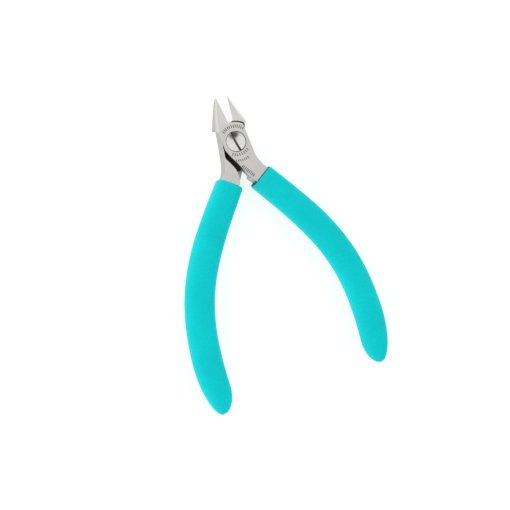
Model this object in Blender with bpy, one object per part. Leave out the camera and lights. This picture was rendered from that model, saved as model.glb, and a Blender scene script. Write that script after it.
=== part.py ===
"""Small diagonal cutting pliers: two lapped steel levers, a slotted pivot screw,
a hidden return spring and two cushion grips.

Frame: metres. The tool lies flat with +Z up. The origin is where the pivot axis
(+Z) meets the flat back of the joint, and +Y points along the tool to the jaws.
Each half is modelled closed, then turned about the pivot to where it rests open.
The rear half has the left handle and the right jaw; the front half, the other two.
"""
import math

import bmesh
import bpy
from mathutils import Vector

MM = 0.001

# The opening. The spring holds the tool this far open.
HALF_OPENING = math.radians(6.6)

# The joint
HEAD_THICKNESS = 6.0 * MM
HEAD_INNER_HALF_WIDTH = 5.2 * MM
LAP_Z = HEAD_THICKNESS / 2
GAP = 0.3 * MM
LOBE_RADIUS = 7.3 * MM
SHOULDER_RADIUS = 7.7 * MM
RIM_WIDTH = 0.35 * MM
EDGE_BREAK = 0.35 * MM
CUT_REACH = 9.0 * MM                  # cutters run this far out, clear of the head

# The jaws
JAW_LENGTH = 17.7 * MM
JAW_HALF_WIDTH = 5.35 * MM
TIP_WIDTH = 0.55 * MM
JAW_CORNER_Y = 7.4 * MM
FRONT_SLOPE_DROP = 2.5 * MM
BACK_SLOPE_RISE = 1.6 * MM
EDGE_CLEARANCE = 0.08 * MM
BEVEL_ANGLE = math.radians(24)
JAW_CHAMFER = 0.8 * MM

# The pivot screw and the spring around it
SCREW_HEAD_RADIUS = 3.75 * MM
SCREW_HEAD_HEIGHT = 1.5 * MM
SCREW_HEAD_SUNK = 0.12 * MM
SCREW_DISH = 0.2 * MM
SCREW_RADIUS = 2.0 * MM
SCREW_FIT = 0.15 * MM
SLOT_WIDTH = 0.9 * MM
SLOT_DEPTH = 0.75 * MM
SLOT_TURN = math.radians(13)
SPRING_RADIUS = 2.75 * MM
SPRING_WIRE = 0.5 * MM
SPRING_TURNS = 1.5
SPRING_POCKET_RADIUS = 3.35 * MM
SPRING_POCKET_FLOOR = 1.2 * MM

# The handles: one Bezier curve in plan from the grip's mouth to the grip's end
HANDLE_CURVE = ((-4.9, -14.7), (-21.4, -44.9), (-28.7, -56.0), (-20.9, -97.0))
TANG_START = 0.5 * MM
TANG_END = 74.0 * MM
TANG_TAPER = 16.0 * MM
TANG_STEPS = 15
TANG_MOUTH_HALF_WIDTH = 3.1 * MM
TANG_HALF_WIDTH = 2.5 * MM
TANG_MOUTH_HALF_HEIGHT = 2.5 * MM
TANG_HALF_HEIGHT = 2.0 * MM
SHANK_INNER_HALF_WIDTH = 3.6 * MM
SHANK_OUTER_HALF_WIDTH = 2.95 * MM
SHANK_END = 3.0 * MM
GRIP_OUTER_HALF_WIDTH = 5.5 * MM
GRIP_INNER_HALF_WIDTH = 5.6 * MM
GRIP_HALF_HEIGHT = 4.7 * MM
MOUTH_GAP = 0.4 * MM
GRIP_OVERHANG = 0.6 * MM
FRONT_GRIP_OVERHANG = -0.4 * MM
GRIP_OUTER_ROUND = 21.0 * MM          # how far from its end each side starts to round off
GRIP_INNER_ROUND = 9.5 * MM
GRIP_HEIGHT_ROUND = 12.0 * MM
MOUTH_PINCH = 0.22                    # the outer side draws in by this share at the mouth
MOUTH_FLATTEN = 0.07
MOUTH_PINCH_LENGTH = 28.0 * MM
MOUTH_LIP = 1.2 * MM
MOUTH_LIP_ROUND = 0.6 * MM
GRIP_SIDES = 24
GRIP_STEPS = 18
GRIP_END_STEPS = 10

STEEL = (0.66, 0.65, 0.62, 1.0)
SCREW_STEEL = (0.62, 0.62, 0.60, 1.0)
SPRING_STEEL = (0.42, 0.42, 0.43, 1.0)
TURQUOISE = (0.005, 0.60, 0.62, 1.0)

REAR = 1
FRONT = -1

# Half width of the head on each lever's outer side, where its thin rim starts, and how
# the lap pocket's wall runs out where the handles part
HEAD_OUTER_HALF_WIDTH = {REAR: 5.5 * MM, FRONT: 5.1 * MM}
RIM_TOP = {REAR: ((-5.5 * MM, 0.55 * MM), (-5.3 * MM, -0.4 * MM), (-5.3 * MM, -2.0 * MM)),
           FRONT: ((-5.2 * MM, -2.9 * MM), (-5.1 * MM, -3.0 * MM))}
POCKET_TAIL = {REAR: ((-1.2 * MM, -12.2 * MM), (-1.0 * MM, -13.8 * MM), (-1.15 * MM, -15.3 * MM),
                      (-1.0 * MM, -16.0 * MM)),
               FRONT: ((-0.95 * MM, -12.2 * MM), (-0.25 * MM, -13.8 * MM), (1.0 * MM, -15.6 * MM))}


# ---- shared helpers -------------------------------------------------------

def clear_scene():
    for old in list(bpy.data.objects):
        bpy.data.objects.remove(old, do_unlink=True)


def make_material(name, colour, roughness, metallic):
    material = bpy.data.materials.new(name)
    material.use_nodes = True
    shader = material.node_tree.nodes["Principled BSDF"]
    shader.inputs["Base Color"].default_value = colour
    shader.inputs["Roughness"].default_value = roughness
    shader.inputs["Metallic"].default_value = metallic
    material.diffuse_color = colour
    return material


def mesh_object(name, bm, parent=None, material=None):
    """Turn a bmesh into an object with outward faces, sharp at its real edges."""
    bmesh.ops.recalc_face_normals(bm, faces=bm.faces)
    mesh = bpy.data.meshes.new(name)
    bm.to_mesh(mesh)
    bm.free()
    mesh.shade_smooth()
    mesh.set_sharp_from_angle(angle=math.radians(35))
    made = bpy.data.objects.new(name, mesh)
    bpy.context.collection.objects.link(made)
    made.parent = parent
    if material:
        mesh.materials.append(material)
    return made


def arc(radius, start, end, steps):
    """Points on a circle about the pivot, from one angle to another."""
    points = []
    for i in range(steps + 1):
        angle = start + (end - start) * i / steps
        points.append((radius * math.cos(angle), radius * math.sin(angle)))
    return points


def smooth_path(points, steps):
    """A Catmull-Rom curve through the points, which keeps both of its ends."""
    knots = [Vector(p) for p in points]
    padded = [2 * knots[0] - knots[1]] + knots + [2 * knots[-1] - knots[-2]]
    path = []
    for a, b, c, d in zip(padded, padded[1:], padded[2:], padded[3:]):
        for i in range(steps):
            t = i / steps
            path.append(0.5 * (2 * b + (c - a) * t + (2 * a - 5 * b + 4 * c - d) * t ** 2
                               + (3 * b - a - 3 * c + d) * t ** 3))
    path.append(knots[-1])
    return [(p.x, p.y) for p in path]


def rotated(point, angle):
    x, y = point
    return (x * math.cos(angle) - y * math.sin(angle), x * math.sin(angle) + y * math.cos(angle))


def prism(outline, low, high, side=REAR):
    """A closed prism over a plan outline. FRONT mirrors it in X and turns it over."""
    bm = bmesh.new()
    if side == FRONT:
        low, high = HEAD_THICKNESS - high, HEAD_THICKNESS - low
    base = bm.faces.new([bm.verts.new((side * x, y, low)) for x, y in outline])
    raised = bmesh.ops.extrude_face_region(bm, geom=[base])
    lifted = [v for v in raised["geom"] if isinstance(v, bmesh.types.BMVert)]
    bmesh.ops.translate(bm, verts=lifted, vec=(0, 0, high - low))
    return bm


def lathe(profile, steps=48):
    """Turn a closed (radius, z) profile about the pivot axis."""
    bm = bmesh.new()
    rings = []
    for i in range(steps):
        angle = 2 * math.pi * i / steps
        rings.append([bm.verts.new((r * math.cos(angle), r * math.sin(angle), z)) for r, z in profile[1:-1]])
    bottom = bm.verts.new((0, 0, profile[0][1]))
    top = bm.verts.new((0, 0, profile[-1][1]))
    for ring, following in zip(rings, rings[1:] + rings[:1]):
        bm.faces.new((bottom, following[0], ring[0]))
        bm.faces.new((top, ring[-1], following[-1]))
        for i in range(len(ring) - 1):
            bm.faces.new((ring[i], following[i], following[i + 1], ring[i + 1]))
    return bm


def disc(radius, low, high, steps=48, centre=(0, 0)):
    bm = lathe([(0, low), (radius, low), (radius, high), (0, high)], steps)
    bmesh.ops.translate(bm, verts=bm.verts, vec=(centre[0], centre[1], 0))
    return bm


def boolean(target, operation, tool_bm, name):
    """Cut from or join to the target with a hidden tool object."""
    tool = mesh_object(name, tool_bm, parent=target.parent)
    tool.hide_render = True
    tool.display_type = "WIRE"
    modifier = target.modifiers.new(name, "BOOLEAN")
    modifier.operation = operation
    modifier.solver = "EXACT"
    modifier.object = tool


# ---- the handle's curve ---------------------------------------------------

def handle_points(count=240):
    """Evenly timed points along the handle's Bezier curve."""
    a, b, c, d = [Vector(p) * MM for p in HANDLE_CURVE]
    points = []
    for i in range(count + 1):
        t = i / count
        points.append((1 - t) ** 3 * a + 3 * (1 - t) ** 2 * t * b + 3 * (1 - t) * t ** 2 * c + t ** 3 * d)
    return points


def handle_length():
    points = handle_points()
    return sum((q - p).length for p, q in zip(points, points[1:]))


def handle_station(distance):
    """The point and the sideways direction (to the inner side) that far along."""
    points = handle_points()
    walked = 0.0
    for p, q in zip(points, points[1:]):
        step = (q - p).length
        if walked + step >= distance or q is points[-1]:
            along = (q - p).normalized()
            return p + along * (distance - walked), Vector((-along.y, along.x))
        walked += step


def ring_at(bm, side, distance, outer, inner, half_height, power, sides):
    """A rounded section of the handle. Power 2 is an ellipse, more is squarer."""
    point, inwards = handle_station(distance)
    ring = []
    for i in range(sides):
        angle = 2 * math.pi * i / sides
        across = math.copysign(abs(math.cos(angle)) ** (2 / power), math.cos(angle))
        up = math.copysign(abs(math.sin(angle)) ** (2 / power), math.sin(angle))
        place = point + inwards * (across * (inner if across > 0 else outer))
        ring.append(bm.verts.new((side * place.x, place.y, LAP_Z + up * half_height)))
    return ring


def bridge(bm, rings):
    for ring, following in zip(rings, rings[1:]):
        for i in range(len(ring)):
            k = (i + 1) % len(ring)
            bm.faces.new((ring[i], ring[k], following[k], following[i]))


# ---- levers ---------------------------------------------------------------

def inner_edge():
    """The half-thick edge of the shank on the side that faces the other handle."""
    return smooth_path([(HEAD_INNER_HALF_WIDTH, -1.6 * MM), (4.0 * MM, -4.7 * MM), (2.35 * MM, -8.2 * MM),
                        (1.45 * MM, -10.6 * MM), (0.8 * MM, -12.2 * MM), (0.1 * MM, -13.8 * MM),
                        (-1.2 * MM, -15.8 * MM)], 4)


def outer_edge(side):
    head = -HEAD_OUTER_HALF_WIDTH[side]
    return smooth_path([(head, -4.2 * MM), (head - 0.1 * MM, -7.6 * MM), (-6.2 * MM, -10.8 * MM),
                        (-7.4 * MM, -12.9 * MM)], 6)


def lever_outline(side):
    """The closed rear lever in plan as far as its tang, clockwise from the jaw's tip."""
    shank_end, inwards = handle_station(SHANK_END)
    lobe_end = math.acos(-HEAD_OUTER_HALF_WIDTH[side] / LOBE_RADIUS)
    outline = [(EDGE_CLEARANCE, JAW_LENGTH), (TIP_WIDTH, JAW_LENGTH - 0.3 * MM),
               (JAW_HALF_WIDTH - 0.15 * MM, JAW_CORNER_Y), (JAW_HALF_WIDTH, JAW_CORNER_Y - 0.7 * MM),
               (HEAD_INNER_HALF_WIDTH, JAW_CORNER_Y - 2.0 * MM)]
    outline += inner_edge()
    outline += [tuple(shank_end + inwards * SHANK_INNER_HALF_WIDTH),
                tuple(shank_end - inwards * SHANK_OUTER_HALF_WIDTH)]
    outline += reversed(outer_edge(side))
    outline += reversed(arc(LOBE_RADIUS, math.acos(EDGE_CLEARANCE / LOBE_RADIUS), lobe_end, 18))
    return outline


def lap_pocket(side):
    """Where the rear lever is half thick: the space that the front lever turns in."""
    rim_x = RIM_WIDTH - HEAD_OUTER_HALF_WIDTH[side]
    rim_top = RIM_TOP[side]
    tail = POCKET_TAIL[side]
    pocket = [(CUT_REACH, JAW_CORNER_Y + 0.2 * MM)]
    pocket += arc(SHOULDER_RADIUS, math.radians(58), math.radians(160), 30)
    pocket += [(rim_top[0][0] - 1.0 * MM, rim_top[0][1]), *rim_top]
    pocket += [(rim_x, rim_top[-1][1] - 0.6 * MM), (rim_x, -5.3 * MM)]
    pocket += smooth_path([(-4.7 * MM, -6.3 * MM), (-3.2 * MM, -8.1 * MM), (-1.75 * MM, -10.4 * MM),
                           *tail], 4)
    pocket += [(CUT_REACH, tail[-1][1])]
    return pocket


def slope_cutter(drop, side_z):
    """A wedge above a line that falls from the joint to the tips."""
    edge = HEAD_THICKNESS if side_z > 0 else 0.0
    start_y = LOBE_RADIUS + 0.1 * MM
    slope = drop / (JAW_LENGTH - start_y)
    reach = JAW_LENGTH + 3 * MM
    beyond = edge + side_z * 4 * MM
    profile = [(start_y, edge), (reach, edge - side_z * slope * (reach - start_y)), (reach, beyond),
               (start_y, beyond)]
    bm = bmesh.new()
    base = bm.faces.new([bm.verts.new((-CUT_REACH, y, z)) for y, z in profile])
    raised = bmesh.ops.extrude_face_region(bm, geom=[base])
    bmesh.ops.translate(bm, verts=[v for v in raised["geom"] if isinstance(v, bmesh.types.BMVert)],
                        vec=(2 * CUT_REACH, 0, 0))
    return bm


def bevel_cutter(side):
    """Undercuts the jaw from its cutting edge, which lies along the front face."""
    lean = HEAD_THICKNESS * math.tan(BEVEL_ANGLE)
    foot = EDGE_CLEARANCE + lean
    profile = [(EDGE_CLEARANCE, HEAD_THICKNESS), (foot, 0.0), (foot, -1 * MM), (-4 * MM, -1 * MM),
               (-4 * MM, HEAD_THICKNESS)]
    bm = bmesh.new()
    start_y = SHOULDER_RADIUS + 0.2 * MM
    base = bm.faces.new([bm.verts.new((side * x, start_y, z)) for x, z in profile])
    raised = bmesh.ops.extrude_face_region(bm, geom=[base])
    lifted = [v for v in raised["geom"] if isinstance(v, bmesh.types.BMVert)]
    bmesh.ops.translate(bm, verts=lifted, vec=(0, JAW_LENGTH, 0))
    # the edge follows the sloping front face, so it drops towards the tips
    fall = FRONT_SLOPE_DROP / (JAW_LENGTH - SHOULDER_RADIUS)
    for vert in lifted:
        vert.co.x -= side * fall * JAW_LENGTH * math.tan(BEVEL_ANGLE)
    return bm


def break_edges(bm, width):
    """Bevel the rims of the plate and shank, but not the jaw's."""
    rims = []
    for edge in bm.edges:
        level = abs(edge.verts[0].co.z - edge.verts[1].co.z) < 0.01 * MM
        on_jaw = max(v.co.y for v in edge.verts) > LOBE_RADIUS + 0.1 * MM
        on_corner = all(v.co.y > JAW_CORNER_Y - 2 * MM and abs(v.co.x) > 5 * MM for v in edge.verts)
        if level and not on_jaw and not on_corner:
            rims.append(edge)
    bmesh.ops.bevel(bm, geom=rims, offset=width, segments=1, affect="EDGES", clamp_overlap=True)


def chamfer_cutter(side):
    """Bevels the jaw's outer edge on the front face, from the corner to the tip."""
    start = Vector((JAW_HALF_WIDTH, JAW_CORNER_Y - 2 * MM, HEAD_THICKNESS))
    end = Vector((TIP_WIDTH, JAW_LENGTH, HEAD_THICKNESS - FRONT_SLOPE_DROP))
    along = (end - start).normalized()
    end = end + along * 3 * MM
    bm = bmesh.new()
    rings = []
    for place, width in ((start, JAW_CHAMFER), (end, JAW_CHAMFER * 0.5)):
        corners = ((-width, 0), (0.3 * MM, -width - 0.3 * MM), (3 * MM, -width), (3 * MM, 3 * MM),
                   (-width, 3 * MM))
        rings.append([bm.verts.new((side * (place.x + x), place.y, place.z + z)) for x, z in corners])
    bridge(bm, rings)
    bm.faces.new(rings[0])
    bm.faces.new(rings[1])
    return bm


def tang_sizes(distance):
    """Half width and half height of the tang, which slims down inside the grip."""
    blend = max(0.0, 1 - distance / TANG_TAPER) ** 2
    width = TANG_HALF_WIDTH + (TANG_MOUTH_HALF_WIDTH - TANG_HALF_WIDTH) * blend
    height = TANG_HALF_HEIGHT + (TANG_MOUTH_HALF_HEIGHT - TANG_HALF_HEIGHT) * blend
    return width, height


def tang_stations():
    return [TANG_START + (TANG_END - TANG_START) * i / TANG_STEPS for i in range(TANG_STEPS + 1)]


def tang(side):
    """The bar that runs on from the shank, inside the grip."""
    bm = bmesh.new()
    rings = []
    for distance in tang_stations():
        width, height = tang_sizes(distance)
        rings.append(ring_at(bm, side, distance, width, width, height, 3.2, 12))
    bridge(bm, rings)
    bm.faces.new(rings[0])
    bm.faces.new(rings[-1])
    return bm


def make_lever(name, side, half, steel):
    plate = prism(lever_outline(side), 0.0, HEAD_THICKNESS, side)
    break_edges(plate, EDGE_BREAK)
    lever = mesh_object(name, plate, half, steel)
    pocket = prism(lap_pocket(side), LAP_Z - GAP / 2, HEAD_THICKNESS + 2 * MM, side)
    boolean(lever, "DIFFERENCE", pocket, name + "_lap_cut")
    boolean(lever, "DIFFERENCE", slope_cutter(FRONT_SLOPE_DROP, 1), name + "_front_slope_cut")
    boolean(lever, "DIFFERENCE", slope_cutter(BACK_SLOPE_RISE, -1), name + "_back_slope_cut")
    boolean(lever, "DIFFERENCE", bevel_cutter(side), name + "_bevel_cut")
    boolean(lever, "DIFFERENCE", chamfer_cutter(side), name + "_chamfer_cut")
    boolean(lever, "UNION", tang(side), name + "_tang")
    boolean(lever, "DIFFERENCE", disc(SCREW_RADIUS + SCREW_FIT, -1 * MM, HEAD_THICKNESS + 1 * MM),
            name + "_bore_cut")
    return lever


def leg_place(turns):
    """Where a spring leg stands, by how far round from the start of the coil."""
    return rotated((SPRING_RADIUS, 0), 2 * math.pi * turns + math.radians(200))


def make_levers(rear_half, front_half, steel):
    rear = make_lever("rear_lever", REAR, rear_half, steel)
    front = make_lever("front_lever", FRONT, front_half, steel)
    boolean(rear, "DIFFERENCE", disc(SPRING_POCKET_RADIUS, SPRING_POCKET_FLOOR, LAP_Z),
            "rear_spring_pocket_cut")
    boolean(rear, "DIFFERENCE", disc(SPRING_WIRE, 0.4 * MM, LAP_Z, 16, rotated(leg_place(0), HALF_OPENING)),
            "rear_spring_leg_cut")
    seat = HEAD_THICKNESS - SCREW_HEAD_SUNK - SCREW_HEAD_HEIGHT - GAP
    boolean(front, "DIFFERENCE", disc(SCREW_HEAD_RADIUS + 0.25 * MM, seat, HEAD_THICKNESS + 1 * MM),
            "front_counterbore_cut")
    upper_leg = rotated(leg_place(SPRING_TURNS), -HALF_OPENING)
    boolean(front, "DIFFERENCE", disc(SPRING_WIRE, LAP_Z, 3.9 * MM, 16, upper_leg), "front_spring_leg_cut")


# ---- screw and spring -----------------------------------------------------

def make_screw(parent, steel):
    top = HEAD_THICKNESS - SCREW_HEAD_SUNK
    under = top - SCREW_HEAD_HEIGHT
    profile = [(0, 0), (SCREW_RADIUS, 0), (SCREW_RADIUS, under), (SCREW_HEAD_RADIUS, under),
               (SCREW_HEAD_RADIUS, top - 0.2 * MM), (SCREW_HEAD_RADIUS - 0.2 * MM, top),
               (SCREW_HEAD_RADIUS * 0.6, top - SCREW_DISH * 0.65), (0, top - SCREW_DISH)]
    screw = mesh_object("pivot_screw", lathe(profile, 64), parent, steel)
    slot = bmesh.new()
    bmesh.ops.create_cube(slot, size=1.0)
    length = 2 * SCREW_HEAD_RADIUS + 2 * MM
    bmesh.ops.scale(slot, vec=(SLOT_WIDTH, length, 2 * SLOT_DEPTH), verts=slot.verts)
    bmesh.ops.translate(slot, vec=(0, 0, top), verts=slot.verts)
    for vert in slot.verts:
        vert.co.x, vert.co.y = rotated((vert.co.x, vert.co.y), SLOT_TURN + HALF_OPENING)
    boolean(screw, "DIFFERENCE", slot, "screw_slot_cut")


def make_spring(steel):
    """One and a half turns of wire with a straight leg up into each lever."""
    low_z = SPRING_POCKET_FLOOR + 0.35 * MM
    high_z = LAP_Z - GAP / 2 - 0.3 * MM
    points = [(*leg_place(0), 0.6 * MM), (*leg_place(0), low_z - 0.35 * MM)]
    steps = 27
    for i in range(steps + 1):
        turned = SPRING_TURNS * i / steps
        points.append((*leg_place(turned), low_z + (high_z - low_z) * i / steps))
    points += [(*leg_place(SPRING_TURNS), high_z + 0.35 * MM), (*leg_place(SPRING_TURNS), 3.75 * MM)]
    curve = bpy.data.curves.new("return_spring", "CURVE")
    curve.dimensions = "3D"
    curve.bevel_depth = SPRING_WIRE / 2
    curve.bevel_resolution = 2
    curve.use_fill_caps = True
    spline = curve.splines.new("POLY")
    spline.points.add(len(points) - 1)
    for knot, place in zip(spline.points, points):
        knot.co = (*place, 1.0)
    curve.materials.append(steel)
    spring = bpy.data.objects.new("return_spring", curve)
    bpy.context.collection.objects.link(spring)


# ---- grips ----------------------------------------------------------------

def grip_sizes(distance, length):
    """How far the grip reaches out, in and up from the handle's curve."""
    near_mouth = max(0.0, 1 - distance / MOUTH_PINCH_LENGTH) ** 1.5
    outer = GRIP_OUTER_HALF_WIDTH * (1 - MOUTH_PINCH * near_mouth)
    inner = GRIP_INNER_HALF_WIDTH
    height = GRIP_HALF_HEIGHT * (1 - MOUTH_FLATTEN * near_mouth)
    past_outer = max(0.0, distance - (length - GRIP_OUTER_ROUND)) / GRIP_OUTER_ROUND
    past_inner = max(0.0, distance - (length - GRIP_INNER_ROUND)) / GRIP_INNER_ROUND
    past_height = max(0.0, distance - (length - GRIP_HEIGHT_ROUND)) / GRIP_HEIGHT_ROUND
    outer *= math.sqrt(max(0.0, 1 - past_outer ** 2))
    inner *= math.sqrt(max(0.0, 1 - past_inner ** 2))
    height *= math.sqrt(max(0.0, 1 - past_height ** 2))
    return outer, inner, height


def grip_power(distance):
    """The section is squarer at the mouth, where the foam is stretched over the shank."""
    return 2.3 + 1.2 * max(0.0, 1 - distance / (15 * MM))


def grip_rings(bm, side, length):
    """Outer rings from the rolled lip at the mouth to just short of the end."""
    rings = []
    for angle in (12, 45, 78):
        distance = MOUTH_LIP * (1 - math.cos(math.radians(angle)))
        drawn_in = MOUTH_LIP_ROUND * (1 - math.sin(math.radians(angle)))
        outer, inner, height = grip_sizes(distance, length)
        rings.append(ring_at(bm, side, distance, outer - drawn_in, inner - drawn_in, height - drawn_in,
                             grip_power(distance), GRIP_SIDES))
    start = 3.0 * MM
    turn = length - GRIP_OUTER_ROUND
    for i in range(GRIP_STEPS + 1):
        distance = start + (turn - start) * i / GRIP_STEPS
        rings.append(ring_at(bm, side, distance, *grip_sizes(distance, length), grip_power(distance),
                             GRIP_SIDES))
    for i in range(1, GRIP_END_STEPS + 1):
        # stops a little short of the very end, so that the last ring can be closed
        reached = math.sin(math.pi / 2 * i / (GRIP_END_STEPS + 0.6))
        distance = turn + GRIP_OUTER_ROUND * reached
        rings.append(ring_at(bm, side, distance, *grip_sizes(distance, length), grip_power(distance),
                             GRIP_SIDES))
    return rings


def cavity_rings(bm, side):
    """Inner rings, which clear the shank at the mouth and then the tang."""
    rings = []
    for distance in (0.0, SHANK_END + 0.6 * MM):
        rings.append(ring_at(bm, side, distance, SHANK_OUTER_HALF_WIDTH + MOUTH_GAP,
                             SHANK_INNER_HALF_WIDTH + MOUTH_GAP, HEAD_THICKNESS / 2 + MOUTH_GAP, 7.0,
                             GRIP_SIDES))
    for distance in tang_stations():
        if distance > SHANK_END + 2 * MM:
            width, height = tang_sizes(distance)
            place = distance + (GAP if distance >= TANG_END else 0)
            rings.append(ring_at(bm, side, place, width + GAP, width + GAP, height + GAP, 3.6, GRIP_SIDES))
    return rings


def make_grip(name, side, half, foam):
    bm = bmesh.new()
    length = handle_length() + (GRIP_OVERHANG if side == REAR else FRONT_GRIP_OVERHANG)
    outer = grip_rings(bm, side, length)
    inner = cavity_rings(bm, side)
    bridge(bm, outer)
    bridge(bm, [inner[0], outer[0]])
    bridge(bm, list(reversed(inner)))
    bm.faces.new(outer[-1])
    bm.faces.new(inner[-1])
    mesh_object(name, bm, half, foam)


# ---- assembly -------------------------------------------------------------

def make_half(name, angle):
    """An empty on the pivot axis that carries one half of the tool."""
    half = bpy.data.objects.new(name, None)
    half.rotation_euler.z = angle
    bpy.context.collection.objects.link(half)
    return half


def main():
    clear_scene()
    steel = make_material("ground_steel", STEEL, 0.35, 1.0)
    screw_steel = make_material("turned_screw_steel", SCREW_STEEL, 0.28, 1.0)
    spring_steel = make_material("spring_steel", SPRING_STEEL, 0.35, 1.0)
    foam = make_material("cushion_foam", TURQUOISE, 0.75, 0.0)
    rear_half = make_half("rear_half_pivot", -HALF_OPENING)
    front_half = make_half("front_half_pivot", HALF_OPENING)
    make_levers(rear_half, front_half, steel)
    make_screw(rear_half, screw_steel)
    make_spring(spring_steel)
    make_grip("rear_grip", REAR, rear_half, foam)
    make_grip("front_grip", FRONT, front_half, foam)


main()
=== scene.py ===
import math

import bpy
import bmesh
from mathutils import Matrix, Vector


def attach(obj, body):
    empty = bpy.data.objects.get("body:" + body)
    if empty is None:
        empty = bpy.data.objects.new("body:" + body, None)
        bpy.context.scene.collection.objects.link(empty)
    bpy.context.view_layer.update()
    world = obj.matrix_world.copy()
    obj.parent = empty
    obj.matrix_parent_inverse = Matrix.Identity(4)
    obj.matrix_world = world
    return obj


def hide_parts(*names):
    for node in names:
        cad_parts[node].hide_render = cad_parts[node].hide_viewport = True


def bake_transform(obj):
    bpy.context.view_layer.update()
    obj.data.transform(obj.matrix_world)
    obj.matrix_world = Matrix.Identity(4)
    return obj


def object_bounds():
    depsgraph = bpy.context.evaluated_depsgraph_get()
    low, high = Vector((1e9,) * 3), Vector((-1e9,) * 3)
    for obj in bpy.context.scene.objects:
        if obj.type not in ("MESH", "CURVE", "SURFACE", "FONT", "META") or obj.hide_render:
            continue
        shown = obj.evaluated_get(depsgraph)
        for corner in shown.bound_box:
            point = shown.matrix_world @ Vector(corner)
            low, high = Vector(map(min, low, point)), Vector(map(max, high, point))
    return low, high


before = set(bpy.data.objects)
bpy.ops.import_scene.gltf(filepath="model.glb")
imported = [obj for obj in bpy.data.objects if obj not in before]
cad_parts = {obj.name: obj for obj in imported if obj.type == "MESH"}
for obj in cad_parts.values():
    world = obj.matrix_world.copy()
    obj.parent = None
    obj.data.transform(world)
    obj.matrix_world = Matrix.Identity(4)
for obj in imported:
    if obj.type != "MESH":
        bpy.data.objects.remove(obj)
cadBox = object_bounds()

mm = 0.001
scene = bpy.context.scene


# helpers for shapes

def turned(point, angle):
    c, s = math.cos(angle), math.sin(angle)
    return (point[0] * c - point[1] * s, point[0] * s + point[1] * c)


def arcPoints(radius, start, end, steps):
    points = []
    for i in range(steps + 1):
        angle = start + (end - start) * i / steps
        points.append((radius * math.cos(angle), radius * math.sin(angle)))
    return points


def smoothPath(points, steps):
    # a Catmull-Rom curve through every point
    knots = [Vector(points[0])] + [Vector(p) for p in points] + [Vector(points[-1])]
    path = []
    for a, b, c, d in zip(knots, knots[1:], knots[2:], knots[3:]):
        for i in range(steps):
            t = i / steps
            path.append(tuple(0.5 * ((2 * b) + (c - a) * t + (2 * a - 5 * b + 4 * c - d) * t ** 2
                                     + (3 * b - a - 3 * c + d) * t ** 3)))
    path.append(tuple(points[-1]))
    return path


def newPiece(name, bm, materials):
    bmesh.ops.recalc_face_normals(bm, faces=bm.faces[:])
    mesh = bpy.data.meshes.new(name)
    bm.to_mesh(mesh)
    bm.free()
    for material in materials:
        mesh.materials.append(material)
    piece = bpy.data.objects.new(name, mesh)
    scene.collection.objects.link(piece)
    return piece


def pushOut(corners, shift):
    # a face pushed along a straight line, and the points of its far end
    bm = bmesh.new()
    base = bm.faces.new([bm.verts.new(corner) for corner in corners])
    raised = bmesh.ops.extrude_face_region(bm, geom=[base])
    far = [v for v in raised["geom"] if isinstance(v, bmesh.types.BMVert)]
    bmesh.ops.translate(bm, verts=far, vec=shift)
    return bm, far


def slab(outline, low, high, flip=False):
    # an outline raised between two heights; flip turns it over about the tool's middle line and lap
    if flip:
        outline = [(-x, y) for x, y in outline]
        low, high = steelShape["thick"] - high, steelShape["thick"] - low
    return pushOut([(x, y, low) for x, y in outline], (0, 0, high - low))[0]


def disc(radius, low, high, steps=96, centre=(0, 0)):
    outline = [(centre[0] + x, centre[1] + y) for x, y in arcPoints(radius, 0, 2 * math.pi, steps)[:-1]]
    return slab(outline, low, high)


def lathe(profile, steps):
    bm = bmesh.new()
    rings = []
    for radius, z in profile:
        if radius == 0:
            rings.append([bm.verts.new((0, 0, z))])
        else:
            rings.append([bm.verts.new((*p, z)) for p in arcPoints(radius, 0, 2 * math.pi, steps)[:-1]])
    for ring, following in zip(rings, rings[1:]):
        for i in range(steps):
            k = (i + 1) % steps
            corners = [ring[i % len(ring)], ring[k % len(ring)], following[k % len(following)],
                       following[i % len(following)]]
            bm.faces.new(list(dict.fromkeys(corners)))
    return bm


def shapeWith(piece, toolBm, operation="DIFFERENCE", finish=None):
    # cut or join a tool straight away; the faces that it leaves take the finish
    materials = [finish] if finish else [piece.data.materials[0]]
    tool = newPiece("tool", toolBm, materials)
    step = piece.modifiers.new("step", "BOOLEAN")
    step.operation = operation
    step.solver = "EXACT"
    step.material_mode = "TRANSFER"
    step.object = tool
    applyAll(piece)
    bpy.data.objects.remove(tool)


def applyAll(piece):
    bpy.context.view_layer.update()
    seen = piece.evaluated_get(bpy.context.evaluated_depsgraph_get())
    mesh = bpy.data.meshes.new_from_object(seen)
    old = piece.data
    piece.modifiers.clear()
    piece.data = mesh
    mesh.name = piece.name
    bpy.data.meshes.remove(old)


def tidyMesh(piece, flatness=0.05):
    # joins double points and the coplanar slivers that cutting leaves
    bm = bmesh.new()
    bm.from_mesh(piece.data)
    bmesh.ops.remove_doubles(bm, verts=bm.verts[:], dist=0.002 * mm)
    bmesh.ops.dissolve_limit(bm, angle_limit=math.radians(flatness), verts=bm.verts[:], edges=bm.edges[:],
                             delimit={"MATERIAL"})
    bm.to_mesh(piece.data)
    bm.free()


def softenEdges(piece, width, segments, angle, edgeFinish):
    piece.data.materials.append(edgeFinish)
    step = piece.modifiers.new("soft edges", "BEVEL")
    step.limit_method = "ANGLE"
    step.angle_limit = math.radians(angle)
    step.width = width
    step.segments = segments
    step.use_clamp_overlap = True
    step.material = len(piece.data.materials) - 1
    applyAll(piece)


def closeSlivers(piece):
    # edges that a bevel squeezed to nothing leave faces without area
    bm = bmesh.new()
    bm.from_mesh(piece.data)
    bmesh.ops.dissolve_degenerate(bm, dist=0.001 * mm, edges=bm.edges[:])
    bmesh.ops.remove_doubles(bm, verts=bm.verts[:], dist=0.001 * mm)
    bmesh.ops.recalc_face_normals(bm, faces=bm.faces[:])
    bm.to_mesh(piece.data)
    bm.free()


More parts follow.
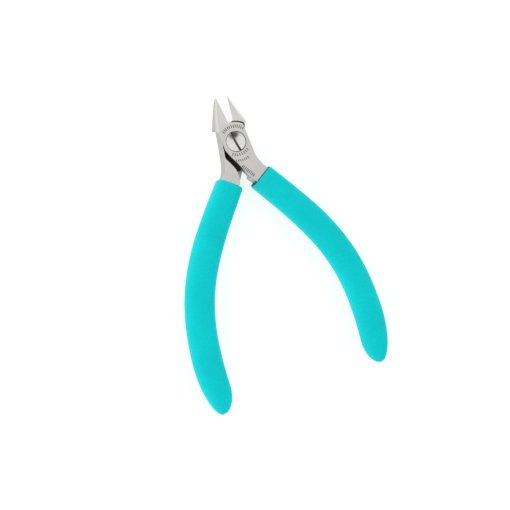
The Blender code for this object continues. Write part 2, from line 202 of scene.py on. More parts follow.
def finishWalls(piece, plain, wall, steepness=0.55):
    # swaps the plain finish for the wall finish, whose darker colour is painted shade, on faces that stand
    # upright
    slots = piece.data.materials
    if wall.name not in slots:
        slots.append(wall)
    names = [m.name for m in slots]
    for face in piece.data.polygons:
        if names[face.material_index] == plain.name and abs(face.normal.z) < steepness:
            face.material_index = names.index(wall.name)


def smoothLook(piece, angle=30):
    piece.data.shade_smooth()
    piece.data.set_sharp_from_angle(angle=math.radians(angle))
    step = piece.modifiers.new("even shading", "WEIGHTED_NORMAL")
    step.keep_sharp = True
    step.weight = 60


# helpers for finishes

def newFinish(name):
    finish = bpy.data.materials.new(name)
    finish.use_nodes = True
    return finish, finish.node_tree.nodes["Principled BSDF"]


def addNode(finish, kind, **settings):
    node = finish.node_tree.nodes.new(kind)
    for key, value in settings.items():
        if key in node.inputs:
            node.inputs[key].default_value = value
        else:
            setattr(node, key, value)
    return node


def wire(finish, source, target):
    finish.node_tree.links.new(source, target)


def placeBy(finish, scale=(1, 1, 1)):
    # object space stretched per axis, so that lines and grain keep a real size in metres
    where = addNode(finish, "ShaderNodeTexCoord")
    stretch = addNode(finish, "ShaderNodeMapping", Scale=scale)
    wire(finish, where.outputs["Object"], stretch.inputs["Vector"])
    return stretch.outputs["Vector"]


def noiseAt(finish, place, scale, detail, roughness=0.5):
    grain = addNode(finish, "ShaderNodeTexNoise", Scale=scale, Detail=detail, Roughness=roughness)
    wire(finish, place, grain.inputs["Vector"])
    return grain.outputs["Fac"]


def between(finish, value, low, high, fromLow=0.3, fromHigh=0.7):
    span = addNode(finish, "ShaderNodeMapRange", **{"From Min": fromLow, "From Max": fromHigh,
                                                    "To Min": low, "To Max": high})
    wire(finish, value, span.inputs["Value"])
    return span.outputs["Result"]


def tint(finish, value, dark, light):
    blend = addNode(finish, "ShaderNodeMix", data_type="RGBA")
    wire(finish, value, blend.inputs["Factor"])
    blend.inputs["A"].default_value = (*dark, 1)
    blend.inputs["B"].default_value = (*light, 1)
    return blend.outputs["Result"]


def bumpFrom(finish, height, depth, before=None):
    bump = addNode(finish, "ShaderNodeBump", Strength=1.0, Distance=depth)
    wire(finish, height, bump.inputs["Height"])
    if before:
        wire(finish, before, bump.inputs["Normal"])
    return bump.outputs["Normal"]


# the steel's finishes

steelFinish = {
    "light": (0.80, 0.79, 0.765),
    "dark": (0.73, 0.72, 0.695),
    "roughness": (0.30, 0.42),
    "lineDepth": 0.0016 * mm,       # depth of the grinding lines
    # near-black painted shade for the lap and the other hollows
    "recess": (0.022, 0.021, 0.02),
    "mark": (0.10, 0.098, 0.092),
    # painted shade for the screw's slot
    "slot": (0.11, 0.108, 0.10),
    "edge": ((0.62, 0.61, 0.585), (0.76, 0.75, 0.725)),     # dark and light, here and below
    # darker colours for the upright sides: painted shade
    "wall": ((0.44, 0.435, 0.42), (0.56, 0.555, 0.535)),
    "turned": ((0.80, 0.795, 0.775), (0.92, 0.915, 0.895)),
    "drawnWire": ((0.30, 0.30, 0.31), (0.46, 0.46, 0.47)),
}


def makeGroundSteel(name, lines):
    finish, shader = newFinish(name)
    shader.inputs["Metallic"].default_value = 1.0
    streaks = noiseAt(finish, placeBy(finish, lines), scale=1.0, detail=3.0, roughness=0.6)
    clouds = noiseAt(finish, placeBy(finish), scale=260.0, detail=4.0)
    fine = noiseAt(finish, placeBy(finish), scale=4200.0, detail=3.0)
    patch = addNode(finish, "ShaderNodeMath", operation="MULTIPLY_ADD")
    wire(finish, streaks, patch.inputs[0])
    patch.inputs[1].default_value = 0.4
    wire(finish, between(finish, clouds, 0.0, 0.6), patch.inputs[2])
    wire(finish, tint(finish, patch.outputs[0], steelFinish["dark"], steelFinish["light"]),
         shader.inputs["Base Color"])
    wire(finish, between(finish, patch.outputs[0], *reversed(steelFinish["roughness"]), 0.1, 0.9),
         shader.inputs["Roughness"])
    normal = bumpFrom(finish, streaks, steelFinish["lineDepth"])
    normal = bumpFrom(finish, fine, steelFinish["lineDepth"] * 0.6, normal)
    wire(finish, normal, shader.inputs["Normal"])
    return finish


def makeEdgeSteel():
    # the soft edges are rubbed smoother than the ground faces
    finish, shader = newFinish("rubbed edge steel")
    shader.inputs["Metallic"].default_value = 1.0
    wear = noiseAt(finish, placeBy(finish), scale=900.0, detail=4.0)
    wire(finish, tint(finish, wear, *steelFinish["edge"]), shader.inputs["Base Color"])
    wire(finish, between(finish, wear, 0.34, 0.2), shader.inputs["Roughness"])
    return finish


def makeWallSteel():
    # the upright sides are only milled, so they are rougher than the ground faces; their darker colour is
    # painted shade
    finish, shader = newFinish("milled side steel with painted shade")
    shader.inputs["Metallic"].default_value = 1.0
    lines = noiseAt(finish, placeBy(finish, (500, 500, 9000)), scale=1.0, detail=3.0, roughness=0.6)
    wire(finish, tint(finish, lines, *steelFinish["wall"]), shader.inputs["Base Color"])
    wire(finish, between(finish, lines, 0.5, 0.38), shader.inputs["Roughness"])
    wire(finish, bumpFrom(finish, lines, 0.0015 * mm), shader.inputs["Normal"])
    return finish


def makeRecessSteel():
    # painted shade: the lap, the screw bore and the spring pocket are painted near black, mottled by a film
    # of noise in colour, roughness and bumps
    finish, shader = newFinish("recess steel with painted shade")
    shader.inputs["Metallic"].default_value = 0.35
    shader.inputs["Specular IOR Level"].default_value = 0.35
    film = noiseAt(finish, placeBy(finish), scale=1500.0, detail=5.0)
    wire(finish, tint(finish, film, steelFinish["recess"], tuple(2.0 * c for c in steelFinish["recess"])),
         shader.inputs["Base Color"])
    wire(finish, between(finish, film, 0.5, 0.75), shader.inputs["Roughness"])
    wire(finish, bumpFrom(finish, film, 0.004 * mm), shader.inputs["Normal"])
    return finish


def makeMarkSteel(name, colour):
    finish, shader = newFinish(name)
    shader.inputs["Metallic"].default_value = 0.6
    bite = noiseAt(finish, placeBy(finish), scale=5000.0, detail=2.0)
    wire(finish, tint(finish, bite, colour, tuple(1.5 * c for c in colour)),
         shader.inputs["Base Color"])
    shader.inputs["Roughness"].default_value = 0.7
    wire(finish, bumpFrom(finish, bite, 0.003 * mm), shader.inputs["Normal"])
    return finish


groundSteel = makeGroundSteel("ground steel", (9000, 700, 700))
edgeSteel = makeEdgeSteel()
wallSteelPaintedShade = makeWallSteel()
recessPaintedShade = makeRecessSteel()
markSteel = makeMarkSteel("etched mark", steelFinish["mark"])
# the screw's slot is painted near black: painted shade
slotPaintedShade = makeMarkSteel("screw slot painted shade", steelFinish["slot"])
print("steel finishes ready")


# the two levers

steelShape = {
    "halfOpening": math.radians(6.6),   # each half stands this far open at rest
    "thick": 6.0 * mm,
    "innerHalfWidth": 5.2 * mm,
    "outerHalfWidth": {1: 5.5 * mm, -1: 5.1 * mm},      # rear and front lever
    "lapHeight": 3.0 * mm,
    "gap": 0.3 * mm,
    "lobeRadius": 7.3 * mm,
    "shoulderRadius": 7.7 * mm,
    "shoulderArc": (math.radians(58), math.radians(160)),
    "rimWidth": 0.35 * mm,
    "rimTop": {1: ((-5.5 * mm, 0.55 * mm), (-5.3 * mm, -0.4 * mm), (-5.3 * mm, -2.0 * mm)),
               -1: ((-5.2 * mm, -2.9 * mm), (-5.1 * mm, -3.0 * mm))},
    "pocketTail": {1: ((-1.2 * mm, -12.2 * mm), (-1.0 * mm, -13.8 * mm), (-1.15 * mm, -15.3 * mm),
                       (-1.0 * mm, -16.0 * mm)),
                   -1: ((-0.95 * mm, -12.2 * mm), (-0.25 * mm, -13.8 * mm), (1.0 * mm, -15.6 * mm))},
    "darkEnd": {1: -11.3 * mm, -1: -10.4 * mm},         # the painted shade on the lap stops here
    "darkSlant": 0.35,
    "cleanDepth": 0.02 * mm,            # how much deeper the clean end is ground
    "reach": 9.0 * mm,                  # cutters run this far out, clear of the head
    "edgeBreak": 0.35 * mm,
    "jawLength": 17.7 * mm,
    "tipWidth": 0.55 * mm,
    "jawHalfWidth": 5.35 * mm,
    "jawCornerY": 7.4 * mm,
    "frontDrop": 2.5 * mm,              # the front face falls this far by the tips
    "backRise": 1.6 * mm,
    "edgeClearance": 0.08 * mm,
    "undercut": math.radians(24),
    "jawChamfer": 0.8 * mm,
    "softWidth": 0.1 * mm,
    "softSegments": 2,
    "softAngle": 28,                    # only edges sharper than this are softened
}

handleShape = {
    "curve": ((-4.9, -14.7), (-21.4, -44.9), (-28.7, -56.0), (-20.9, -97.0)),   # mm
    "tangStart": 0.5 * mm,
    "tangEnd": 74.0 * mm,
    "tangTaper": 16.0 * mm,
    "tangMouth": (3.1 * mm, 2.5 * mm),     # half width and half height
    "tangBody": (2.5 * mm, 2.0 * mm),
    "tangSquareness": 3.2,
    "tangSteps": 40,
    "tangSides": 20,
    "shankInner": 3.6 * mm,
    "shankOuter": 2.95 * mm,
    "shankEnd": 3.0 * mm,
}


def handlePoints(count=400):
    a, b, c, d = [Vector(p) * mm for p in handleShape["curve"]]
    points = []
    for i in range(count + 1):
        t = i / count
        points.append((1 - t) ** 3 * a + 3 * (1 - t) ** 2 * t * b + 3 * (1 - t) * t ** 2 * c + t ** 3 * d)
    return points


handleLine = handlePoints()
handleRun = [0.0]
for start, end in zip(handleLine, handleLine[1:]):
    handleRun.append(handleRun[-1] + (end - start).length)


def handleStation(distance):
    # the point that far along the handle, and the direction to its inner side
    i = 1
    while i < len(handleRun) - 1 and handleRun[i] < distance:
        i += 1
    along = (handleLine[i] - handleLine[i - 1]).normalized()
    return handleLine[i - 1] + along * (distance - handleRun[i - 1]), Vector((-along.y, along.x))


def sectionRing(bm, side, distance, outer, inner, halfHeight, power, sides):
    # a ring of points round the handle; a power of 2 is an oval, and more is squarer
    point, inwards = handleStation(distance)
    ring = []
    for i in range(sides):
        angle = 2 * math.pi * i / sides
        across = math.copysign(abs(math.cos(angle)) ** (2 / power), math.cos(angle))
        up = math.copysign(abs(math.sin(angle)) ** (2 / power), math.sin(angle))
        place = point + inwards * (across * (inner if across > 0 else outer))
        ring.append(bm.verts.new((side * place.x, place.y, steelShape["lapHeight"] + up * halfHeight)))
    return ring


def bridge(bm, rings):
    for ring, following in zip(rings, rings[1:]):
        for i in range(len(ring)):
            k = (i + 1) % len(ring)
            bm.faces.new((ring[i], ring[k], following[k], following[i]))


def innerEdge():
    return smoothPath([(steelShape["innerHalfWidth"], -1.6 * mm), (4.0 * mm, -4.7 * mm),
                       (2.35 * mm, -8.2 * mm), (1.45 * mm, -10.6 * mm), (0.8 * mm, -12.2 * mm),
                       (0.1 * mm, -13.8 * mm), (-1.2 * mm, -15.8 * mm)], 10)


def outerEdge(side):
    head = -steelShape["outerHalfWidth"][side]
    return smoothPath([(head, -4.2 * mm), (head - 0.1 * mm, -7.6 * mm), (-6.2 * mm, -10.8 * mm),
                       (-7.4 * mm, -12.9 * mm)], 12)


def leverOutline(side):
    s = steelShape
    shankEnd, inwards = handleStation(handleShape["shankEnd"])
    lobeStart = math.acos(s["edgeClearance"] / s["lobeRadius"])
    lobeEnd = math.acos(-s["outerHalfWidth"][side] / s["lobeRadius"])
    outline = [(s["edgeClearance"], s["jawLength"]), (s["tipWidth"], s["jawLength"] - 0.3 * mm),
               (s["jawHalfWidth"] - 0.15 * mm, s["jawCornerY"]),
               (s["jawHalfWidth"], s["jawCornerY"] - 0.7 * mm),
               (s["innerHalfWidth"], s["jawCornerY"] - 2.0 * mm)]
    outline += innerEdge()
    outline += [tuple(shankEnd + inwards * handleShape["shankInner"]),
                tuple(shankEnd - inwards * handleShape["shankOuter"])]
    outline += reversed(outerEdge(side))
    outline += reversed(arcPoints(s["lobeRadius"], lobeStart, lobeEnd, 48))
    return outline


def lapPocket(side):
    s = steelShape
    rimX = s["rimWidth"] - s["outerHalfWidth"][side]
    rimTop = s["rimTop"][side]
    pocket = [(s["reach"], s["jawCornerY"] + 0.2 * mm)]
    pocket += arcPoints(s["shoulderRadius"], *s["shoulderArc"], 90)
    pocket += [(rimTop[0][0] - 1.0 * mm, rimTop[0][1]), *rimTop, (rimX, rimTop[-1][1] - 0.6 * mm),
               (rimX, -5.3 * mm)]
    tail = s["pocketTail"][side]
    pocket += smoothPath([(-4.7 * mm, -6.3 * mm), (-3.2 * mm, -8.1 * mm), (-1.75 * mm, -10.4 * mm),
                          *tail], 10)
    pocket += [(s["reach"], tail[-1][1])]
    return pocket


def cleanEnd(side):
    # the strip of the pocket past the dark lap
    s = steelShape
    pocket = [p for p in lapPocket(side) if p[1] <= s["darkEnd"][side]]
    first = pocket[0]
    return [(s["reach"], first[1] + s["darkSlant"] * (s["reach"] - first[0])), *pocket]


def cleanEndWalls(lever, side):
    # the pocket's walls past the dark lap, and the rim's thin start, swap the near-black painted shade for
    # the wall finish
    s = steelShape
    rimTop = s["rimTop"][side]
    names = [m.name for m in lever.data.materials]
    for face in lever.data.polygons:
        beyond = face.center.y < s["darkEnd"][side] - 0.2 * mm
        onRim = side * face.center.x < rimTop[-1][0] + 0.05 * mm and face.center.y > rimTop[-1][1]
        if (beyond or onRim) and names[face.material_index] == recessPaintedShade.name:
            face.material_index = names.index(wallSteelPaintedShade.name)


def slopeTool(drop, side):
    # a wedge over a line that falls from the joint to the tips
    s = steelShape
    edge = s["thick"] if side > 0 else 0.0
    startY = s["lobeRadius"] + 0.1 * mm
    slope = drop / (s["jawLength"] - startY)
    reach = s["jawLength"] + 3 * mm
    beyond = edge + side * 4 * mm
    profile = [(startY, edge), (reach, edge - side * slope * (reach - startY)), (reach, beyond),
               (startY, beyond)]
    return pushOut([(-s["reach"], y, z) for y, z in profile], (2 * s["reach"], 0, 0))[0]


def undercutTool(side):
    # slopes the jaw away under its cutting edge, which lies along the front face
    s = steelShape
    lean = s["thick"] * math.tan(s["undercut"])
    profile = [(s["edgeClearance"], s["thick"]), (s["edgeClearance"] + lean, 0.0),
               (s["edgeClearance"] + lean, -1 * mm), (-4 * mm, -1 * mm), (-4 * mm, s["thick"])]
    startY = s["shoulderRadius"] + 0.2 * mm
    bm, far = pushOut([(side * x, startY, z) for x, z in profile], (0, s["jawLength"], 0))
    fall = s["frontDrop"] / (s["jawLength"] - s["shoulderRadius"])
    for vert in far:
        vert.co.x -= side * fall * s["jawLength"] * math.tan(s["undercut"])
    return bm


def chamferTool(side):
    s = steelShape
    start = Vector((s["jawHalfWidth"], s["jawCornerY"] - 2 * mm, s["thick"]))
    end = Vector((s["tipWidth"], s["jawLength"], s["thick"] - s["frontDrop"]))
    end = end + (end - start).normalized() * 3 * mm
    bm = bmesh.new()
    rings = []
    for place, width in ((start, s["jawChamfer"]), (end, s["jawChamfer"] * 0.5)):
        corners = ((-width, 0), (0.3 * mm, -width - 0.3 * mm), (3 * mm, -width), (3 * mm, 3 * mm),
                   (-width, 3 * mm))
        rings.append([bm.verts.new((side * (place.x + x), place.y, place.z + z)) for x, z in corners])
    bridge(bm, rings)
    bm.faces.new(rings[0])
    bm.faces.new(rings[1])
    return bm


def breakEdges(bm, width):
    s = steelShape
    rims = []
    for edge in bm.edges:
        level = abs(edge.verts[0].co.z - edge.verts[1].co.z) < 0.01 * mm
        onJaw = max(v.co.y for v in edge.verts) > s["lobeRadius"] + 0.1 * mm
        onCorner = all(v.co.y > s["jawCornerY"] - 2 * mm and abs(v.co.x) > 5 * mm for v in edge.verts)
        if level and not onJaw and not onCorner:
            rims.append(edge)
    bmesh.ops.bevel(bm, geom=rims, offset=width, segments=3, profile=0.5, affect="EDGES",
                    clamp_overlap=True)


def tangSizes(clearance):
    # distance along the handle, half width and half height of each section
    h = handleShape
    sizes = []
    for i in range(h["tangSteps"] + 1):
        distance = h["tangStart"] + (h["tangEnd"] - h["tangStart"]) * i / h["tangSteps"]
        slim = max(0.0, 1 - distance / h["tangTaper"]) ** 2
        width, height = [b + (m - b) * slim + clearance for m, b in zip(h["tangMouth"], h["tangBody"])]
        sizes.append((distance, width, height))
    return sizes


def tangTool(side):
    h = handleShape
    bm = bmesh.new()
    rings = []
    for distance, width, height in tangSizes(0.0):
        rings.append(sectionRing(bm, side, distance, width, width, height, h["tangSquareness"],
                                 h["tangSides"]))
    bridge(bm, rings)
    bm.faces.new(rings[0])
    bm.faces.new(rings[-1])
    return bm


def makeLever(name, node, body, side, angle):
    s = steelShape
    bm = slab(leverOutline(side), 0.0, s["thick"], side < 0)
    breakEdges(bm, s["edgeBreak"])
    lever = newPiece(name, bm, [groundSteel])
    floorHeight = s["lapHeight"] - s["gap"] / 2
    above = s["thick"] + 2 * mm
    # the lap pocket, and below it the bore and the spring pocket, take the near-black painted shade
    shapeWith(lever, slab(lapPocket(side), floorHeight, above, side < 0), finish=recessPaintedShade)
    shapeWith(lever, slab(cleanEnd(side), floorHeight - s["cleanDepth"], above, side < 0), finish=wallSteelPaintedShade)
    shapeWith(lever, slopeTool(s["frontDrop"], 1))
    shapeWith(lever, slopeTool(s["backRise"], -1))
    shapeWith(lever, undercutTool(side))
    shapeWith(lever, chamferTool(side))
    shapeWith(lever, disc(screwShape["radius"] + screwShape["fit"], -1 * mm, s["thick"] + 1 * mm),
              finish=recessPaintedShade)
    if side < 0:
        seat = s["thick"] - screwShape["sunk"] - screwShape["headHeight"] - s["gap"]
        shapeWith(lever, disc(screwShape["headRadius"] + screwShape["headFit"], seat, s["thick"] + 1 * mm),
                  finish=recessPaintedShade)
    else:
        shapeWith(lever, disc(springShape["pocketRadius"], springShape["pocketFloor"], s["lapHeight"]),
                  finish=recessPaintedShade)
    tidyMesh(lever)
    softenEdges(lever, s["softWidth"], s["softSegments"], s["softAngle"], edgeSteel)
    shapeWith(lever, tangTool(side), "UNION")
    if side < 0:
        shapeWith(lever, markTool(), finish=markSteel)
    cleanEndWalls(lever, side)
    # upright faces and steep edges take the wall finish with its painted shade
    finishWalls(lever, groundSteel, wallSteelPaintedShade)
    finishWalls(lever, edgeSteel, wallSteelPaintedShade, steepness=0.8)
    lever.data.transform(Matrix.Rotation(angle, 4, "Z"))
    smoothLook(lever)
    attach(lever, body)
    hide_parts(node)
    print(name, "made,", len(lever.data.polygons), "faces")
    return lever


# plain index ticks cut round the screw and along the shank

markShape = {
    "depth": 0.06 * mm,
    "width": 0.3 * mm,
    "rings": (   # radius, tick length, from and to angle in degrees, count
        (5.7 * mm, 1.15 * mm, 40, 124, 12),
        (5.0 * mm, 1.1 * mm, -127, -55, 8),
        (7.2 * mm, 0.9 * mm, -111, -74, 7),
    ),
    "rowStart": (-1.25 * mm, -9.3 * mm),
    "rowStep": (0.33 * mm, -0.57 * mm),
    "rowCount": 9,
    "rowLength": 1.25 * mm,
}


def markTool():
    m = markShape
    top = steelShape["thick"]
    bm = bmesh.new()

    def tick(centre, angle, length):
        made = bmesh.ops.create_cube(bm, size=1.0)["verts"]
        bmesh.ops.scale(bm, vec=(length, m["width"], 2 * m["depth"]), verts=made)
        bmesh.ops.rotate(bm, cent=(0, 0, 0), matrix=Matrix.Rotation(angle, 3, "Z"), verts=made)
        bmesh.ops.translate(bm, vec=(*centre, top), verts=made)

    for radius, length, start, end, count in m["rings"]:
        for i in range(count):
            angle = math.radians(start + (end - start) * i / (count - 1))
            tick((radius * math.cos(angle), radius * math.sin(angle)), angle, length)
    for i in range(m["rowCount"]):
        centre = [a + b * i for a, b in zip(m["rowStart"], m["rowStep"])]
        tick(centre, math.atan2(m["rowStep"][1], m["rowStep"][0]) + math.pi / 2, m["rowLength"])
    return bm


# the slotted screw and the spring under it

screwShape = {
    "headRadius": 3.75 * mm,
    "headHeight": 1.5 * mm,
    "sunk": 0.12 * mm,
    "headFit": 0.12 * mm,
    "dish": 0.62 * mm,
    "radius": 2.0 * mm,
    "fit": 0.15 * mm,
    "slotWidth": 0.9 * mm,
    "slotDepth": 0.75 * mm,
    "slotTurn": math.radians(13),
    "chamfer": 0.1 * mm,
    "rim": 0.2 * mm,
    "softWidth": 0.06 * mm,
    "softSegments": 2,
    "softAngle": 40,
}

springShape = {
    "radius": 2.75 * mm,
    "wire": 0.5 * mm,
    "turns": 1.5,
    "pocketRadius": 3.35 * mm,
    "pocketFloor": 1.2 * mm,
    "lift": 0.35 * mm,           # how far the coil lies off the pocket's floor
    "topClearance": 0.3 * mm,
    "legAngle": math.radians(200),
    "legEnds": (0.6 * mm, 3.75 * mm),
    "sides": 14,
    "steps": 108,
}


def makeTurnedSteel():
    # fine rings from the lathe tool, with a streaked gloss that turns with them
    finish, shader = newFinish("turned screw steel")
    shader.inputs["Metallic"].default_value = 1.0
    shader.inputs["Anisotropic"].default_value = 0.4
    place = placeBy(finish, (1, 1, 0))
    flat = addNode(finish, "ShaderNodeVectorMath", operation="LENGTH")
    wire(finish, place, flat.inputs[0])
    wave = addNode(finish, "ShaderNodeMath", operation="MULTIPLY")
    wire(finish, flat.outputs["Value"], wave.inputs[0])
    wave.inputs[1].default_value = 52000.0
    ring = addNode(finish, "ShaderNodeMath", operation="SINE")
    wire(finish, wave.outputs[0], ring.inputs[0])
    clouds = noiseAt(finish, placeBy(finish), scale=600.0, detail=4.0)
    wire(finish, tint(finish, clouds, *steelFinish["turned"]), shader.inputs["Base Color"])
    wire(finish, between(finish, clouds, 0.24, 0.16), shader.inputs["Roughness"])
    around = addNode(finish, "ShaderNodeTangent", direction_type="RADIAL", axis="Z")
    wire(finish, around.outputs["Tangent"], shader.inputs["Tangent"])
    wire(finish, bumpFrom(finish, ring.outputs[0], 0.0012 * mm), shader.inputs["Normal"])
    return finish


def makeScrew():
    s, thick = screwShape, steelShape["thick"]
    top = thick - s["sunk"]
    under = top - s["headHeight"]
    profile = [(0, 0), (s["radius"] - s["chamfer"], 0), (s["radius"], s["chamfer"]), (s["radius"], under)]
    profile += [(s["headRadius"] - s["chamfer"], under), (s["headRadius"], under + s["chamfer"])]
    rim = s["rim"]
    for i in range(7):
        angle = math.pi / 2 * i / 6
        profile.append((s["headRadius"] - rim + rim * math.cos(angle), top - rim + rim * math.sin(angle)))
    rings = 24
    for i in range(1, rings + 1):
        radius = (s["headRadius"] - rim) * (1 - i / rings)
        hollow = s["dish"] * (1 - (radius / (s["headRadius"] - rim)) ** 2)
        profile.append((radius if i < rings else 0, top - hollow))
    screw = newPiece("pivotScrew", lathe(profile, 144), [makeTurnedSteel()])
    slot = bmesh.new()
    bmesh.ops.create_cube(slot, size=1.0)
    bmesh.ops.scale(slot, vec=(s["slotWidth"], 2 * s["headRadius"] + 2 * mm, 2 * s["slotDepth"]),
                    verts=slot.verts)
    bmesh.ops.translate(slot, vec=(0, 0, top), verts=slot.verts)
    bmesh.ops.rotate(slot, cent=(0, 0, 0), matrix=Matrix.Rotation(s["slotTurn"], 3, "Z"), verts=slot.verts)
    shapeWith(screw, slot, finish=slotPaintedShade)
    tidyMesh(screw)
    softenEdges(screw, s["softWidth"], s["softSegments"], s["softAngle"], edgeSteel)
    closeSlivers(screw)
    smoothLook(screw)
    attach(screw, "rear_half")
    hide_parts("pivot_screw")
    print("screw made,", len(screw.data.polygons), "faces")


def makeSpring():
    s, steel = springShape, steelShape
    finish, shader = newFinish("spring wire")
    shader.inputs["Metallic"].default_value = 1.0
    draw = noiseAt(finish, placeBy(finish), scale=2500.0, detail=3.0)
    wire(finish, tint(finish, draw, *steelFinish["drawnWire"]), shader.inputs["Base Color"])
    wire(finish, between(finish, draw, 0.42, 0.28), shader.inputs["Roughness"])
    lowZ = s["pocketFloor"] + s["lift"]
    highZ = steel["lapHeight"] - steel["gap"] / 2 - s["topClearance"]

    def legPlace(turns):
        return turned((s["radius"], 0), 2 * math.pi * turns + s["legAngle"])

    steps, legEnds = s["steps"], s["legEnds"]
    points = [(*legPlace(0), legEnds[0]), (*legPlace(0), lowZ - s["lift"])]
    for i in range(steps + 1):
        points.append((*legPlace(s["turns"] * i / steps), lowZ + (highZ - lowZ) * i / steps))
    points += [(*legPlace(s["turns"]), highZ + s["lift"]), (*legPlace(s["turns"]), legEnds[1])]
    bm = bmesh.new()
    rings = []
    for i, point in enumerate(points):
        ahead = Vector(points[min(i + 1, len(points) - 1)]) - Vector(points[max(i - 1, 0)])
        along = ahead.normalized()
        side = along.cross(Vector((point[0], point[1], 0))).normalized()
        up = side.cross(along)
        ring = []
        for k in range(s["sides"]):
            angle = 2 * math.pi * k / s["sides"]
            outwards = (side * math.cos(angle) + up * math.sin(angle)) * s["wire"] / 2
            ring.append(bm.verts.new(Vector(point) + outwards))
        rings.append(ring)
    bridge(bm, rings)
    bm.faces.new(rings[0])
    bm.faces.new(rings[-1])
    spring = newPiece("returnSpring", bm, [finish])
    smoothLook(spring, angle=50)
    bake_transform(spring)
    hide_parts("return_spring")
    print("spring made")


makeLever("rearLever", "rear_lever", "rear_half", 1, -steelShape["halfOpening"])
makeLever("frontLever", "front_lever", "front_half", -1, steelShape["halfOpening"])
makeScrew()
makeSpring()


# the cushion grips

gripShape = {
    "outer": 5.48 * mm,
    "inner": 5.58 * mm,
    "halfHeight": 4.7 * mm,
    "mouthPinch": 0.22,          # how much the outer side draws in at the mouth
    "mouthPinchLength": 28 * mm,
    "mouthFlatten": 0.07,
    "mouthSquare": 15 * mm,      # the section is squarer over this length
    "outerRound": 21 * mm,       # how far from its end each side starts to round off
    "innerRound": 9.5 * mm,
    "heightRound": 12 * mm,
    "squareness": 2.3,           # power of the section's curve, see sectionRing
    "mouthExtra": 1.2,           # added to it at the mouth
    "mouthHoleSquareness": 7.0,
    "tangHoleSquareness": 3.6,
    "lip": 1.2 * mm,
    "lipDrawIn": 0.6 * mm,
    "lipSteps": 10,
    "bodySteps": 110,
    "endSteps": 56,
    "mouthGap": 0.4 * mm,
    "overhang": {1: 0.54 * mm, -1: -0.46 * mm},   # rear and front
    "mouthShadeRings": {1: 0, -1: 4},                # rings of the lip that the painted mouth shade covers
    "sides": 96,
}

foamFinish = {
    "fresh": ((0.001, 0.685, 0.717), (0.002, 0.787, 0.824)),    # dark and light
    # painted shade for the front grip's mouth
    "mouthShade": ((0.012, 0.07, 0.075), (0.03, 0.17, 0.18)),
    "pebble": 0.14 * mm,         # depth of the foam's cells
}


def makeFoam():
    finish, shader = newFinish("cushion foam")
    place = placeBy(finish)
    cells = addNode(finish, "ShaderNodeTexVoronoi", feature="SMOOTH_F1", Scale=1500.0, Smoothness=0.6)
    wire(finish, place, cells.inputs["Vector"])
    fine = noiseAt(finish, place, scale=5200.0, detail=4.0, roughness=0.6)
    patch = noiseAt(finish, place, scale=90.0, detail=3.0)
    shade = addNode(finish, "ShaderNodeMath", operation="MULTIPLY_ADD")
    wire(finish, cells.outputs["Distance"], shade.inputs[0])
    shade.inputs[1].default_value = 0.35
    wire(finish, between(finish, patch, 0.0, 0.65), shade.inputs[2])
    wire(finish, tint(finish, shade.outputs[0], *foamFinish["fresh"]), shader.inputs["Base Color"])
    wire(finish, between(finish, fine, 0.62, 0.5), shader.inputs["Roughness"])
    shader.inputs["IOR"].default_value = 1.45
    shader.inputs["Specular IOR Level"].default_value = 0.12
    shader.inputs["Sheen Weight"].default_value = 0.02
    shader.inputs["Sheen Roughness"].default_value = 0.4
    normal = bumpFrom(finish, cells.outputs["Distance"], foamFinish["pebble"])
    normal = bumpFrom(finish, fine, 0.008 * mm, normal)
    wire(finish, normal, shader.inputs["Normal"])
    return finish


def makeMouthShadeFoam():
    # painted shade at the front grip's mouth, where it meets the steel, mottled with cells
    finish, shader = newFinish("grip mouth painted shade")
    cells = noiseAt(finish, placeBy(finish), scale=2600.0, detail=4.0)
    wire(finish, tint(finish, cells, *foamFinish["mouthShade"]), shader.inputs["Base Color"])
    shader.inputs["Roughness"].default_value = 0.85
    wire(finish, bumpFrom(finish, cells, 0.02 * mm), shader.inputs["Normal"])
    return finish


def gripSizes(distance, length):
    g = gripShape
    nearMouth = max(0.0, 1 - distance / g["mouthPinchLength"]) ** 1.5
    outer = g["outer"] * (1 - g["mouthPinch"] * nearMouth)
    inner = g["inner"]
    height = g["halfHeight"] * (1 - g["mouthFlatten"] * nearMouth)
    pastOuter = max(0.0, distance - (length - g["outerRound"])) / g["outerRound"]
    pastInner = max(0.0, distance - (length - g["innerRound"])) / g["innerRound"]
    pastHeight = max(0.0, distance - (length - g["heightRound"])) / g["heightRound"]
    outer *= math.sqrt(max(0.0, 1 - pastOuter ** 2))
    inner *= math.sqrt(max(0.0, 1 - pastInner ** 2))
    height *= math.sqrt(max(0.0, 1 - pastHeight ** 2))
    return outer, inner, height


def gripPower(distance):
    g = gripShape
    return g["squareness"] + g["mouthExtra"] * max(0.0, 1 - distance / g["mouthSquare"])


